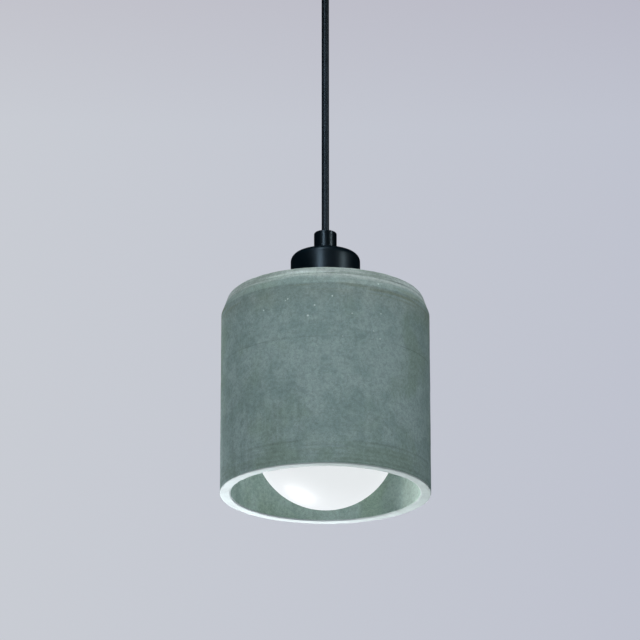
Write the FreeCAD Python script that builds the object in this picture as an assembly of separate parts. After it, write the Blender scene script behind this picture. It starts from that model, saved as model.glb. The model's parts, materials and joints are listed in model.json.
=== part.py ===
"""Pendant ceiling light: a cast concrete shade under a black metal cup, on a round cord.

Millimetres, +Z up. The origin is on the ceiling, at the middle of the ceiling bracket, and
everything hangs below it. The lamp's axis is the Z axis.
"""
import FreeCAD, Part
import math
import os

Vector = FreeCAD.Vector

# ---- Driving dimensions: what sets the size of the light ----
canopy_diameter = 100.0
canopy_depth = 25.0
canopy_wall = 1.0
canopy_corner = 4.0
cord_diameter = 5.1
cord_free_length = 180.0       # between the two cord grips
grip_diameter = 15.4
grip_length = 15.8
cup_wall = 1.2
cup_corner = 5.4
shade_diameter = 140.0
shade_height = 137.0
shade_wall = 7.2               # at the rim
shade_top_plate = 12.0
globe_diameter = 95.5
contact_depth = 8.96           # of the bulb's contact tip below the shade's top

# ---- Clearances and fits ----
slip = 0.05                    # radial, between pieces that screw or push together
loose = 0.15                   # radial, around a screw or nipple that only passes through
free = 0.3                     # between pieces on bodies that move apart
pivot_clearance = 0.05         # between a cord's ball end and its seat
swing_limit = 30.0             # degrees that the cord may lean at a grip
cord_room = 0.75               # radial, around the cord in a nipple
dome_room = 1.05               # radial, between the lampholder's dome and the cup
nut_room = 1.8                 # between the dome and the nut over it
shell_room = 3.25              # radial, between the screw shell and the sleeve
hole_room = 0.7                # radial, between the lampholder and the shade's hole
tab_room = 1.2                 # between the bracket's tabs and the canopy's wall
overshoot = 1.0                # how far a cutting shape runs past what it cuts

# ---- Nipples, nuts, washers and cord grips ----
thread_radius = 5.0            # M10 x 1 nipple
nipple_edge = 0.6
ceiling_nipple_rise = 5.5      # over the canopy's floor
socket_depth = 8.0             # how far a nipple screws into a cord grip
nut_land = 2.0                 # metal between a nut's thread and its flats
nut_thickness = 3.0
washer_land = 3.2              # from a washer's hole to its edge
washer_thickness = 0.8
washer_teeth = 16
tooth_gap_radius = 0.7
grub_radius = 2.0              # M4
grub_recess = 0.3              # how far a grub screw sits below its surface
mouth_flare = 1.1              # radius of a cord grip's mouth, which spares the cord

# ---- Cores and terminals ----
core_radius = 0.95
core_offset = 1.15             # of each core from the cord's axis
sheath_end = 7.0               # from the end of the sheath up to the terminal block's poles
clamp_radius = 1.25            # M2.5
clamp_slot = 0.5
drive_slot = 0.8

# ---- Ceiling bracket and terminal block ----
strip_thickness = 1.5
strip_width = 18.0
tab_drop = 13.0
slot_inset = 9.8               # from the strip's end to the middle of each slot
slot_length = 12.0
slot_width = 4.6
entry_radius = 6.0             # hole for the mains cable
side_screw_radius = 2.0        # M4
side_screw_drop = 8.0          # below the ceiling
side_screw_head = (3.5, 2.2)   # radius and height
side_screw_reach = 4.0         # how far its tip passes the tab's outer face
block_length = 17.0
block_width = 18.0
block_height = 13.5
block_start = 9.0              # from the lamp's axis to the block
block_corner = 1.2
pole_pitch = 8.5
pole_drop = 7.5                # of the barrels' axes below the strip
barrel_radius = 2.4
barrel_bore = 1.5
barrel_inset = 1.0             # of a barrel's ends in the block
clamp_inset = 4.0              # from the block's ends to its clamp screws
clamp_well = 0.5               # radial, around a clamp screw in its well
clamp_recess = 2.0             # of a clamp screw's slot above the block's underside
fixing_radius = 1.5            # M3
fixing_head = (2.7, 1.8)       # radius and height
fixing_short = 0.2             # of the fixing screw's tip below the ceiling

# ---- Shade ----
taper_height = 13.3            # from the foot of the upper taper to the shade's top
taper_radius = 4.3             # how much radius the taper takes off
top_edge = 2.2                 # height of the rounded edge over the taper
top_edge_radius = 3.0          # how much radius that edge takes off
cavity_draft = 1.2             # the cavity is narrower at its top by this radius
cavity_corner = 8.0
rim_bevel = 0.9                # at the cavity's mouth
rim_arris = 0.5                # at the outer edge of the rim

# ---- Lampholder ----
sleeve_wall = 2.0
sleeve_length = 48.0
sleeve_rise = 7.0              # above the shade's top
sleeve_lip = 1.4               # how far the sleeve's mouth turns in
sleeve_lip_height = 3.0
ridge_pitch = 2.0
ridge_depth = 0.45
ridge_start = 2.6              # of the ribbed thread above the sleeve's mouth
dome_height = 18.0
dome_wall = 2.0
dome_skirt_wall = 1.6
dome_shoulder = 5.0            # over the sleeve's top
dome_top_radius = 9.0
dome_overlap = 5.0
dome_screw_radius = 1.5        # M3
boss_length = 7.0
insert_thickness = 10.0
terminal_place = 9.0           # of each terminal from the lamp's axis
terminal_rise = 2.0            # of a terminal post over the insert
terminal_depth = 5.0
terminal_half = (2.6, 2.8)     # half a post's width and depth
terminal_head = (2.1, 1.3)     # radius and height of its screw's head
terminal_screw_start = 4.1     # of that head from the post's axis
shell_wall = 0.4
shell_wave = 0.45              # depth of the rolled thread in the shell
shell_half_turns = 10
shell_collar = 1.2             # plain height over its thread
shell_lip_radius = 9.0
contact_thickness = 0.5
contact_leaf = (4.0, 7.0, 5.0) # half the low leaf, half the whole strip, and its width
gasket_thickness = 0.8
gasket_inset = 0.4             # of the gasket's edge inside the cup's
ring_gasket_thickness = 1.5
ring_flange_radius = 26.0
ring_flange_thickness = 3.0
ring_hub_wall = 2.95
ring_hub_length = 7.0
ring_scallops = 18
scallop_radius = 1.2

# ---- Bulb, with an E27 cap ----
thread_pitch = 25.4 / 7
cap_major_radius = 13.2
cap_minor_radius = 12.2
cap_half_turns = 9
cap_wall = 0.4
cap_plain = 2.5                # under the thread
cap_cone = 3.2                 # over the thread
insulator_height = 4.5
insulator_radius = 9.4
tip_radius = 4.6
tip_height = 1.4
tip_edge = 0.5
collar_length = 18.4
collar_top_radius = 13.9
collar_wall = 1.5
flare_shape = 0.36             # how much of the flare is done by half height
neck_radius = 17.6
neck_length = 4.0
glass_wall = 1.2
board_radius = 15.8
board_thickness = 1.5
board_rise = 1.0               # of the board above the globe's neck line
led_count = 12
led_circle_radius = 11.0
led_size = (2.8, 3.5, 0.7)
driver_width = 17.0
driver_thickness = 1.2
driver_rise = 13.0             # of the driver board's top into the cap
capacitor_radius = 4.0
capacitor_height = 10.0
choke_size = (8.0, 6.0, 8.0)

# ---- Radii, worked out from the sizes above ----
cord_radius = cord_diameter / 2
nipple_bore = cord_radius + cord_room
washer_radius = thread_radius + washer_land
nut_across_flats = 2 * (thread_radius + nut_land)
shell_radius = cap_major_radius + free + (shell_wave + shell_wall) / 2
sleeve_bore = shell_radius + (shell_wave + shell_wall) / 2 + shell_room
holder_radius = sleeve_bore + sleeve_wall
dome_radius = holder_radius + slip + dome_skirt_wall
cup_radius = dome_radius + dome_room + cup_wall
shade_radius = shade_diameter / 2
hole_radius = holder_radius + hole_room
strip_half = canopy_diameter / 2 - canopy_wall - tab_room
slot_spacing = 2 * (strip_half - slot_inset)
neck_depth = math.sqrt((globe_diameter / 2) ** 2 - neck_radius ** 2)

# ---- Levels, worked out from the sizes above ----
canopy_base = -canopy_depth
canopy_floor = canopy_base + canopy_wall
pole_height = -strip_thickness - pole_drop
ceiling_tail_end = pole_height - sheath_end
cord_top = canopy_base - grip_length
cord_bottom = cord_top - cord_free_length
cup_top = cord_bottom - grip_length
lamp_nut_low = cup_top - cup_wall - washer_thickness - nut_thickness
dome_high = lamp_nut_low - nut_room
sleeve_high = dome_high - dome_height
dome_base = sleeve_high - dome_overlap
lamp_tail_end = dome_high - boss_length - 2.0
shade_top = sleeve_high - sleeve_rise
rim = shade_top - shade_height
cavity_top = shade_top - shade_top_plate
ring_high = cavity_top - ring_gasket_thickness
ring_low = ring_high - ring_flange_thickness - ring_hub_length
sleeve_low = sleeve_high - sleeve_length
bulb_tip = shade_top - contact_depth
insert_low = bulb_tip + pivot_clearance + 2 * contact_thickness
insert_high = insert_low + insert_thickness
cap_top = bulb_tip - insulator_height
cap_thread_high = cap_top - cap_cone
cap_thread_low = cap_thread_high - cap_half_turns * thread_pitch / 2
collar_top = cap_thread_low - cap_plain
globe_neck = collar_top - collar_length
globe_centre = globe_neck - neck_depth
globe_bottom = globe_centre - globe_diameter / 2
board_low = globe_neck + board_rise
board_high = board_low + board_thickness


# ---- Shapes that several pieces use ----
def disc(radius, low, high):
    """A round bar on the Z axis."""
    return Part.makeCylinder(radius, high - low, Vector(0, 0, low))


def ring(outer, inner, low, high):
    """A tube on the Z axis."""
    return disc(outer, low, high).cut(disc(inner, low - overshoot, high + overshoot))


def rod(radius, start, end):
    """A round bar from one point to another."""
    axis = Vector(*end) - Vector(*start)
    return Part.makeCylinder(radius, axis.Length, Vector(*start), axis)


def block(low, high):
    """A box from its lowest corner to its highest."""
    size = Vector(*high) - Vector(*low)
    return Part.makeBox(size.x, size.y, size.z, Vector(*low))


def turned(edges):
    """A solid of revolution about Z from the edges of its half section."""
    face = Part.Face(Part.Wire(edges))
    return face.revolve(Vector(0, 0, 0), Vector(0, 0, 1), 360)


def outline(points):
    """The straight edges of a closed half section, from (radius, height) points."""
    corners = [Vector(radius, 0, height) for radius, height in points]
    closed = corners + corners[:1]
    return [Part.makeLine(a, b) for a, b in zip(closed, closed[1:])]


def rounded(shape, size, radius, height):
    """The shape with its circular edge of that radius, at that height, rounded."""
    picked = [
        edge for edge in shape.Edges
        if isinstance(edge.Curve, Part.Circle)
        and abs(edge.Curve.Radius - radius) < 0.001
        and abs(edge.Curve.Center.z - height) < 0.001
    ]
    return shape.makeFillet(size, picked)


def hexagon(across_flats, low, high):
    """A hexagonal prism on the Z axis."""
    corner = across_flats / math.sqrt(3)
    points = [
        Vector(corner * math.cos(math.radians(60 * i)), corner * math.sin(math.radians(60 * i)), low)
        for i in range(6)
    ]
    face = Part.Face(Part.makePolygon(points + points[:1]))
    return face.extrude(Vector(0, 0, high - low))


def path(points):
    """Straight runs joined by tangent arcs, and the radius of each arc."""
    corners = [Vector(*point) for point in points]
    edges, radii, start = [], [], corners[0]
    for before, corner, after in zip(corners, corners[1:], corners[2:]):
        inward, outward = corner - before, after - corner
        setback = 0.45 * min(inward.Length, outward.Length)
        turn = inward.getAngle(outward)
        radii.append(setback / math.tan(turn / 2))
        inward.normalize()
        outward.normalize()
        first, last = corner - inward * setback, corner + outward * setback
        inner = outward - inward
        inner.normalize()
        sagitta = radii[-1] * (1 / math.cos(turn / 2) - 1)
        edges.append(Part.LineSegment(start, first).toShape())
        edges.append(Part.Arc(first, corner + inner * sagitta, last).toShape())
        start = last
    edges.append(Part.LineSegment(start, corners[-1]).toShape())
    return Part.Wire(edges), radii


def wire_tube(points, radius):
    """A round wire that follows a path."""
    spine, _ = path(points)
    heading = Vector(*points[1]) - Vector(*points[0])
    section = Part.Wire(Part.makeCircle(radius, Vector(*points[0]), heading))
    return spine.makePipeShell([section], True, False)


def wave_edge(high, mean_radius, depth, half_turns):
    """The rolled profile of a lamp thread, going down from the level high."""
    quarter = thread_pitch / 4
    points = [
        Vector(mean_radius + depth / 2 * math.sin(i * math.pi / 2), 0, high - i * quarter)
        for i in range(2 * half_turns + 1)
    ]
    curve = Part.BSplineCurve()
    curve.interpolate(points)
    return curve.toShape()


def placed(shape, start, axis):
    """The shape moved from the origin to start, with its +Z along axis."""
    moved = shape.copy()
    moved.Placement = FreeCAD.Placement(Vector(*start), FreeCAD.Rotation(Vector(0, 0, 1), axis))
    return moved


def headed_screw(radius, head, start, end, slot=drive_slot):
    """A cheese-head screw: its head's outer face is at start, and its tip at end."""
    head_radius, head_height = head
    axis = Vector(*end) - Vector(*start)
    cap = Part.makeCylinder(head_radius, head_height)
    shank = Part.makeCylinder(radius, axis.Length - head_height, Vector(0, 0, head_height))
    across = head_radius + overshoot
    drive = block((-across, -slot / 2, -overshoot), (across, slot / 2, head_height / 2))
    return placed(cap.fuse(shank).removeSplitter().cut(drive), start, axis)


def grub_screw(radius, start, end, slot=drive_slot):
    """A headless screw with a slot in its outer face, at start, and its tip at end."""
    axis = Vector(*end) - Vector(*start)
    body = Part.makeCylinder(radius, axis.Length)
    across = radius + overshoot
    drive = block((-across, -slot / 2, -overshoot), (across, slot / 2, radius * 0.6))
    return placed(body.cut(drive), start, axis)


def at(radius, height):
    """A point of a half section."""
    return Vector(radius, 0, height)


# ---- Pieces that the ceiling side and the lamp side share ----
def cord_grip(mouth, seat):
    """A turned grip: a threaded socket at its seat, and a flared cord hole at its mouth."""
    way = 1 if seat > mouth else -1
    low, high = min(mouth, seat), max(mouth, seat)
    radius = grip_diameter / 2
    body = rounded(disc(radius, low, high), mouth_flare, radius, mouth)
    bottom, past = seat - way * socket_depth, seat + way * overshoot
    socket = disc(thread_radius + slip, min(bottom, past), max(bottom, past))
    hole = disc(cord_radius + slip, low - overshoot, high + overshoot)
    body = rounded(body.cut(socket).cut(hole), mouth_flare, cord_radius + slip, mouth)
    height = grip_screw_height(mouth, seat)
    return body.cut(rod(grub_radius + slip, (0, 0, height), (0, radius + overshoot, height)))


def grip_screw_height(mouth, seat):
    """Where the grub screw sits: in the solid length between the socket and the mouth."""
    way = 1 if seat > mouth else -1
    return (mouth + seat - way * socket_depth) / 2


def grip_screw(mouth, seat):
    """The grub screw that pinches the cord, from behind."""
    height = grip_screw_height(mouth, seat)
    outer = (0, grip_diameter / 2 - grub_recess, height)
    return grub_screw(grub_radius, outer, (0, cord_radius + slip, height))


def nipple(low, high):
    """A threaded tube that the cord passes through, with its ends chamfered."""
    inset = thread_radius - nipple_edge
    return turned(outline([
        (nipple_bore, low), (inset, low), (thread_radius, low + nipple_edge),
        (thread_radius, high - nipple_edge), (inset, high), (nipple_bore, high),
    ]))


def lock_washer(low):
    """A toothed washer: a flat ring with notches all round its edge."""
    washer = ring(washer_radius, thread_radius + slip, low, low + washer_thickness)
    for i in range(washer_teeth):
        angle = 2 * math.pi * i / washer_teeth
        x, y = washer_radius * math.cos(angle), washer_radius * math.sin(angle)
        height = washer_thickness + 2 * overshoot
        washer = washer.cut(Part.makeCylinder(tooth_gap_radius, height, Vector(x, y, low - overshoot)))
    return washer


def hex_nut(low):
    """A nut on a nipple, with the corners of its upper face turned off."""
    high = low + nut_thickness
    nut = hexagon(nut_across_flats, low, high)
    flat, corner = nut_across_flats / 2, nut_across_flats / math.sqrt(3)
    cone = Part.makeCone(corner + nut_thickness / 2, flat + 0.4, nut_thickness, Vector(0, 0, low))
    return nut.common(cone).cut(disc(thread_radius + slip, low - overshoot, high + overshoot))


def cord_tail(pivot, end):
    """The cord past a pivot: a straight length whose hollow end seats the cord's ball end.

    Its rim stands back from the pivot as far as the ball reaches at the cord's full lean.
    """
    rim_back = cord_radius * math.sin(math.radians(swing_limit)) + 2 * pivot_clearance
    start = pivot + math.copysign(rim_back, end - pivot)
    tail = disc(cord_radius, min(start, end), max(start, end))
    return tail.cut(Part.makeSphere(cord_radius + pivot_clearance, Vector(0, 0, pivot)))


# ---- Ceiling side ----
def ceiling_bracket():
    """A strip bent down at both ends, with slots for the ceiling's screws."""
    half, wide = strip_half, strip_width / 2
    inside = half - strip_thickness
    strip = block((-half, -wide, -tab_drop), (half, wide, 0))
    strip = strip.cut(block((-inside, -wide - overshoot, -tab_drop - overshoot),
                            (inside, wide + overshoot, -strip_thickness)))
    bends = [
        edge for edge in strip.Edges
        if abs(edge.CenterOfMass.z) < 0.001 and abs(abs(edge.CenterOfMass.x) - half) < 0.001
    ]
    strip = strip.makeFillet(strip_thickness, bends)
    for side in (-1, 1):
        strip = strip.cut(slot_cutter(side * slot_spacing / 2))
        ends = (side * (inside - overshoot), side * (half + overshoot))
        strip = strip.cut(rod(side_screw_radius + slip,
                              *[(x, 0, -side_screw_drop) for x in ends]))
    low, high = -strip_thickness - overshoot, overshoot
    middle = block_start + block_length / 2
    strip = strip.cut(disc(entry_radius, low, high))
    return strip.cut(rod(fixing_radius + slip, (middle, 0, low), (middle, 0, high)))


def slot_cutter(x):
    """A slot along X, round at both ends."""
    radius = slot_width / 2
    straight = slot_length / 2 - radius
    low, high = -strip_thickness - overshoot, overshoot
    cutter = block((x - straight, -radius, low), (x + straight, radius, high))
    for end in (x - straight, x + straight):
        cutter = cutter.fuse(Part.makeCylinder(radius, high - low, Vector(end, 0, low)))
    return cutter


def canopy():
    """A spun steel cup, open against the ceiling."""
    radius = canopy_diameter / 2
    inner = radius - canopy_wall
    shell = rounded(disc(radius, canopy_base, 0), canopy_corner, radius, canopy_base)
    hollow = rounded(disc(inner, canopy_floor, overshoot), canopy_corner - canopy_wall,
                     inner, canopy_floor)
    hole = disc(thread_radius + loose, canopy_base - overshoot, canopy_floor + overshoot)
    across = radius + overshoot
    side_holes = rod(side_screw_radius + loose, (-across, 0, -side_screw_drop),
                     (across, 0, -side_screw_drop))
    return shell.cut(hollow).cut(hole).cut(side_holes)


def canopy_screws():
    """The two screws through the canopy's side into the bracket's tabs."""
    start = canopy_diameter / 2 + side_screw_head[1]
    end = strip_half - side_screw_reach
    return [
        headed_screw(side_screw_radius, side_screw_head,
                     (side * start, 0, -side_screw_drop), (side * end, 0, -side_screw_drop))
        for side in (-1, 1)
    ]


def pole_rows():
    """The two poles' places across the block."""
    return (-pole_pitch / 2, pole_pitch / 2)


def clamp_places():
    """The clamp screws' places along the block."""
    return (block_start + clamp_inset, block_start + block_length - clamp_inset)


def terminal_block():
    """A moulded two-pole block under the bracket, with wells for its clamp screws."""
    top, wide, end = -strip_thickness, block_width / 2, block_start + block_length
    low = top - block_height
    body = block((block_start, -wide, low), (end, wide, top))
    uprights = [
        edge for edge in body.Edges
        if abs(edge.BoundBox.ZLength - block_height) < 0.001
    ]
    body = body.makeFillet(block_corner, uprights)
    for y in pole_rows():
        body = body.cut(rod(barrel_radius + slip, (block_start - overshoot, y, pole_height),
                            (end + overshoot, y, pole_height)))
        for x in clamp_places():
            well = rod(clamp_radius + clamp_well, (x, y, low - overshoot), (x, y, pole_height))
            body = body.cut(well)
    middle = (block_start + end) / 2
    return body.cut(rod(fixing_radius + loose, (middle, 0, low - overshoot),
                        (middle, 0, top + overshoot)))


def terminal_barrels():
    """The brass barrel of each pole, tapped for its clamp screws."""
    start, end = block_start + barrel_inset, block_start + block_length - barrel_inset
    barrels = []
    for y in pole_rows():
        barrel = rod(barrel_radius, (start, y, pole_height), (end, y, pole_height))
        barrel = barrel.cut(rod(barrel_bore, (start - overshoot, y, pole_height),
                                (end + overshoot, y, pole_height)))
        for x in clamp_places():
            tapped = rod(clamp_radius + slip, (x, y, pole_height - barrel_radius - overshoot),
                         (x, y, pole_height))
            barrel = barrel.cut(tapped)
        barrels.append(barrel)
    return barrels


def terminal_screws():
    """The four clamp screws, tips up against the wires."""
    start = -strip_thickness - block_height + clamp_recess
    tip = pole_height - core_radius - slip
    return [
        grub_screw(clamp_radius, (x, y, start), (x, y, tip), clamp_slot)
        for y in pole_rows() for x in clamp_places()
    ]


def block_screw():
    """The screw that holds the block under the bracket, its tip just short of the ceiling."""
    middle = block_start + block_length / 2
    start = -strip_thickness - block_height - fixing_head[1]
    return headed_screw(fixing_radius, fixing_head, (middle, 0, start), (middle, 0, -fixing_short))


def ceiling_core_route(side):
    """One core's way from the end of the sheath into its barrel."""
    y = side * pole_pitch / 2
    return [
        (0, side * core_offset, ceiling_tail_end),
        (0, side * core_offset, pole_height),
        (block_start * 2 / 3, y, pole_height),
        (block_start + block_length / 2 - fixing_radius, y, pole_height),
    ]


# ---- Cord ----
def pendant_cord():
    """The taut cord between the two grips, with a ball end at each pivot."""
    tube = disc(cord_radius, cord_bottom, cord_top)
    for height in (cord_bottom, cord_top):
        tube = tube.fuse(Part.makeSphere(cord_radius, Vector(0, 0, height)))
    return tube.removeSplitter()


# ---- Lamp: cup and lampholder ----
def cup():
    """The metal cup over the lampholder, open downwards."""
    base = shade_top + gasket_thickness
    inner, ceiling = cup_radius - cup_wall, cup_top - cup_wall
    shell = rounded(disc(cup_radius, base, cup_top), cup_corner, cup_radius, cup_top)
    hollow = rounded(disc(inner, base - overshoot, ceiling), cup_corner - cup_wall, inner, ceiling)
    return shell.cut(hollow).cut(disc(thread_radius + loose, ceiling - overshoot, cup_top + overshoot))


def cup_gasket():
    """The flat ring between the cup and the concrete."""
    return ring(cup_radius - gasket_inset, hole_radius, shade_top, shade_top + gasket_thickness)


def holder_dome():
    """The lampholder's cap: a hollow dome with a threaded boss for the nipple."""
    inner, bore = holder_radius + slip, thread_radius + slip
    shoulder, boss_low = sleeve_high + dome_shoulder, dome_high - boss_length
    dome = turned(outline([
        (inner, dome_base), (dome_radius, dome_base), (dome_radius, shoulder),
        (dome_top_radius, dome_high), (bore, dome_high), (bore, boss_low),
        (dome_top_radius - dome_wall / 2, boss_low),
        (dome_top_radius, dome_high - dome_wall * 1.5),
        (inner - dome_wall, shoulder - dome_wall / 2), (inner - dome_wall, sleeve_high),
        (inner, sleeve_high),
    ]))
    height = dome_high - boss_length / 2
    return dome.cut(rod(dome_screw_radius + slip, (0, 0, height), (0, dome_radius, height)))


def holder_dome_screw():
    """The small grub screw that stops the dome from turning on its nipple."""
    height = dome_high - boss_length / 2
    return grub_screw(dome_screw_radius, (0, dome_top_radius + 0.8, height),
                      (0, thread_radius + slip, height), clamp_slot)


def holder_sleeve():
    """The outer sleeve, with a ribbed thread for the shade ring and a turned-in lip."""
    lip, edge = sleeve_bore - sleeve_lip, sleeve_wall * 0.4
    sleeve = turned(outline([
        (lip, sleeve_low), (holder_radius - edge, sleeve_low), (holder_radius, sleeve_low + edge),
        (holder_radius, sleeve_high), (sleeve_bore, sleeve_high),
        (sleeve_bore, sleeve_low + sleeve_lip_height),
        (lip, sleeve_low + sleeve_lip_height - sleeve_lip),
    ]))
    first = sleeve_low + ridge_start
    outside, root = holder_radius + slip, holder_radius - ridge_depth
    for i in range(int((ring_low - first) / ridge_pitch)):
        low = first + i * ridge_pitch
        sleeve = sleeve.cut(turned(outline([
            (outside, low), (outside, low + ridge_pitch * 0.7),
            (root, low + ridge_pitch * 0.5), (root, low + ridge_pitch * 0.2),
        ])))
    return sleeve


def holder_insert():
    """The ceramic insert that carries the contacts, with a well for each terminal."""
    body = disc(sleeve_bore - slip, insert_low, insert_high)
    across, front = terminal_half[0] + 0.6, terminal_screw_start + 1.4
    for side in (-1, 1):
        x = side * terminal_place
        body = body.cut(block((x - across, -front, insert_high - terminal_depth),
                              (x + across, across, insert_high + overshoot)))
    return body


def holder_screw_shell():
    """The rolled brass shell that the bulb screws into, hung from the insert by its lip."""
    high = insert_low - slip
    thread_high = high - shell_collar
    low = thread_high - shell_half_turns * thread_pitch / 2
    outer, inner = shell_radius + shell_wall / 2, shell_radius - shell_wall / 2
    corners = [(inner, thread_high), (inner, high - shell_wall), (shell_lip_radius, high - shell_wall),
               (shell_lip_radius, high), (outer, high), (outer, thread_high)]
    points = [at(*corner) for corner in corners]
    edges = [Part.makeLine(a, b) for a, b in zip(points, points[1:])]
    edges += [
        wave_edge(thread_high, outer, shell_wave, shell_half_turns),
        Part.makeLine(at(outer, low), at(inner, low)),
        wave_edge(thread_high, inner, shell_wave, shell_half_turns),
    ]
    return turned(edges)


def holder_centre_contact():
    """The spring strip that meets the bulb's contact tip, its ends against the insert."""
    half_leaf, half, width = contact_leaf
    low = bulb_tip + pivot_clearance
    middle = low + contact_thickness
    strip = block((-half, -width / 2, low), (half, width / 2, middle))
    for side in (-1, 1):
        near, far = sorted((side * half_leaf, side * half))
        strip = strip.fuse(block((near, -width / 2, middle), (far, width / 2, insert_low)))
    return strip.removeSplitter()


def holder_terminals():
    """The two brass terminal posts in the insert's wells."""
    wide, deep = terminal_half
    posts = []
    for side in (-1, 1):
        x = side * terminal_place
        post = block((x - wide, -deep, insert_high - terminal_depth),
                     (x + wide, deep, insert_high + terminal_rise))
        wire_hole = rod(core_radius + loose, (x, 0, insert_high - terminal_depth / 2),
                        (x, 0, insert_high + terminal_rise + overshoot))
        tapped = rod(clamp_radius + slip, (x, -deep - overshoot, insert_high), (x, 0, insert_high))
        posts.append(post.cut(wire_hole).cut(tapped))
    return posts


def holder_terminal_screws():
    """The screw that clamps a core in each terminal post."""
    return [
        headed_screw(clamp_radius, terminal_head,
                     (side * terminal_place, -terminal_screw_start, insert_high),
                     (side * terminal_place, -core_radius - slip, insert_high), clamp_slot)
        for side in (-1, 1)
    ]


def lamp_core_route(side):
    """One core's way from the end of the sheath down into its terminal post."""
    x = side * terminal_place
    fall = lamp_tail_end - insert_high
    return [
        (side * core_offset, 0, lamp_tail_end),
        (side * core_offset, 0, lamp_tail_end - fall / 4),
        (x, 0, insert_high + fall * 0.43),
        (x, 0, insert_high - terminal_depth / 2 + slip),
    ]


# ---- Lamp: shade and its ring ----
def concrete_shade():
    """The cast shade: a thick tube with a closed top, tapered at its upper edge."""
    inner = shade_radius - shade_wall
    taper_low, edge_low = shade_top - taper_height, shade_top - top_edge
    shoulder = shade_radius - taper_radius
    top_radius = shoulder - top_edge_radius
    corner_low = cavity_top - cavity_corner
    inner_high = inner - cavity_draft
    bow = cavity_corner * (1 - math.sqrt(0.5))
    corner_middle = at(inner_high - bow, cavity_top - bow)
    edge_middle = at(shoulder - top_edge_radius * 0.33, edge_low + top_edge * 0.62)
    return turned([
        Part.makeLine(at(inner + rim_bevel, rim), at(shade_radius - rim_arris, rim)),
        Part.makeLine(at(shade_radius - rim_arris, rim), at(shade_radius, rim + rim_arris)),
        Part.makeLine(at(shade_radius, rim + rim_arris), at(shade_radius, taper_low)),
        Part.makeLine(at(shade_radius, taper_low), at(shoulder, edge_low)),
        Part.Arc(at(shoulder, edge_low), edge_middle, at(top_radius, shade_top)).toShape(),
        Part.makeLine(at(top_radius, shade_top), at(hole_radius, shade_top)),
        Part.makeLine(at(hole_radius, shade_top), at(hole_radius, cavity_top)),
        Part.makeLine(at(hole_radius, cavity_top), at(inner_high - cavity_corner, cavity_top)),
        Part.Arc(at(inner_high - cavity_corner, cavity_top), corner_middle,
                 at(inner_high, corner_low)).toShape(),
        Part.makeLine(at(inner_high, corner_low), at(inner, rim + rim_bevel)),
        Part.makeLine(at(inner, rim + rim_bevel), at(inner + rim_bevel, rim)),
    ])


def ring_gasket():
    """The rubber ring between the shade's ceiling and the shade ring."""
    return ring(ring_flange_radius, hole_radius, ring_high, cavity_top)


def shade_ring():
    """The ring screwed on the lampholder's sleeve, with finger grips around its hub."""
    bore = holder_radius + slip
    hub_radius, hub_high = bore + ring_hub_wall, ring_high - ring_flange_thickness
    flange = ring(ring_flange_radius, bore, hub_high, ring_high)
    whole = flange.fuse(ring(hub_radius, bore, ring_low, hub_high)).removeSplitter()
    for i in range(ring_scallops):
        angle = 2 * math.pi * i / ring_scallops
        foot = Vector(hub_radius * math.cos(angle), hub_radius * math.sin(angle), ring_low - overshoot)
        whole = whole.cut(Part.makeCylinder(scallop_radius, ring_hub_length, foot))
    return whole


# ---- Bulb ----
def bulb_contact_tip():
    """The solder-domed contact in the middle of the cap."""
    low = bulb_tip - tip_height
    return turned(outline([
        (0, low), (tip_radius, low), (tip_radius, bulb_tip - tip_edge),
        (tip_radius - tip_edge, bulb_tip), (0, bulb_tip),
    ]))


def bulb_insulator():
    """The black glass cone between the tip and the screw shell."""
    high = bulb_tip - tip_height
    return turned(outline([
        (0, cap_top), (insulator_radius, cap_top), (tip_radius + overshoot, high), (0, high)]))


def bulb_screw_shell():
    """The thin threaded shell of the cap."""
    outer = (cap_major_radius + cap_minor_radius) / 2
    inner = outer - cap_wall
    wave = cap_major_radius - cap_minor_radius
    mouth = insulator_radius - cap_wall
    return turned([
        wave_edge(cap_thread_high, outer, wave, cap_half_turns),
        Part.makeLine(at(outer, cap_thread_low), at(outer, collar_top)),
        Part.makeLine(at(outer, collar_top), at(inner, collar_top)),
        Part.makeLine(at(inner, collar_top), at(inner, cap_thread_low)),
        wave_edge(cap_thread_high, inner, wave, cap_half_turns),
        Part.makeLine(at(inner, cap_thread_high), at(mouth, cap_top - cap_wall)),
        Part.makeLine(at(mouth, cap_top - cap_wall), at(mouth, cap_top)),
        Part.makeLine(at(mouth, cap_top), at(insulator_radius, cap_top)),
        Part.makeLine(at(insulator_radius, cap_top), at(outer, cap_thread_high)),
    ])


def bulb_collar():
    """The white collar: a socket for the globe's neck, then a flare up to the cap."""
    seat = neck_radius + slip
    low_radius = seat + collar_wall
    step = low_radius - 2 * collar_wall
    socket_top = globe_neck + neck_length + slip
    flare_low = socket_top + collar_wall
    flare_middle = (flare_low + collar_top) / 2

    def flare(inset):
        top, bottom = collar_top_radius - inset, low_radius - inset
        middle = at(top + (bottom - top) * flare_shape, flare_middle)
        return at(top, collar_top), middle, at(bottom, flare_low)

    outer_top, outer_middle, outer_low = flare(0)
    inner_top, inner_middle, inner_low = flare(2 * collar_wall)
    return turned([
        Part.Arc(outer_top, outer_middle, outer_low).toShape(),
        Part.makeLine(outer_low, at(low_radius, globe_neck)),
        Part.makeLine(at(low_radius, globe_neck), at(seat, globe_neck)),
        Part.makeLine(at(seat, globe_neck), at(seat, socket_top)),
        Part.makeLine(at(seat, socket_top), at(step, socket_top)),
        Part.makeLine(at(step, socket_top), inner_low),
        Part.Arc(inner_low, inner_middle, inner_top).toShape(),
        Part.makeLine(inner_top, outer_top),
    ])


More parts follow.
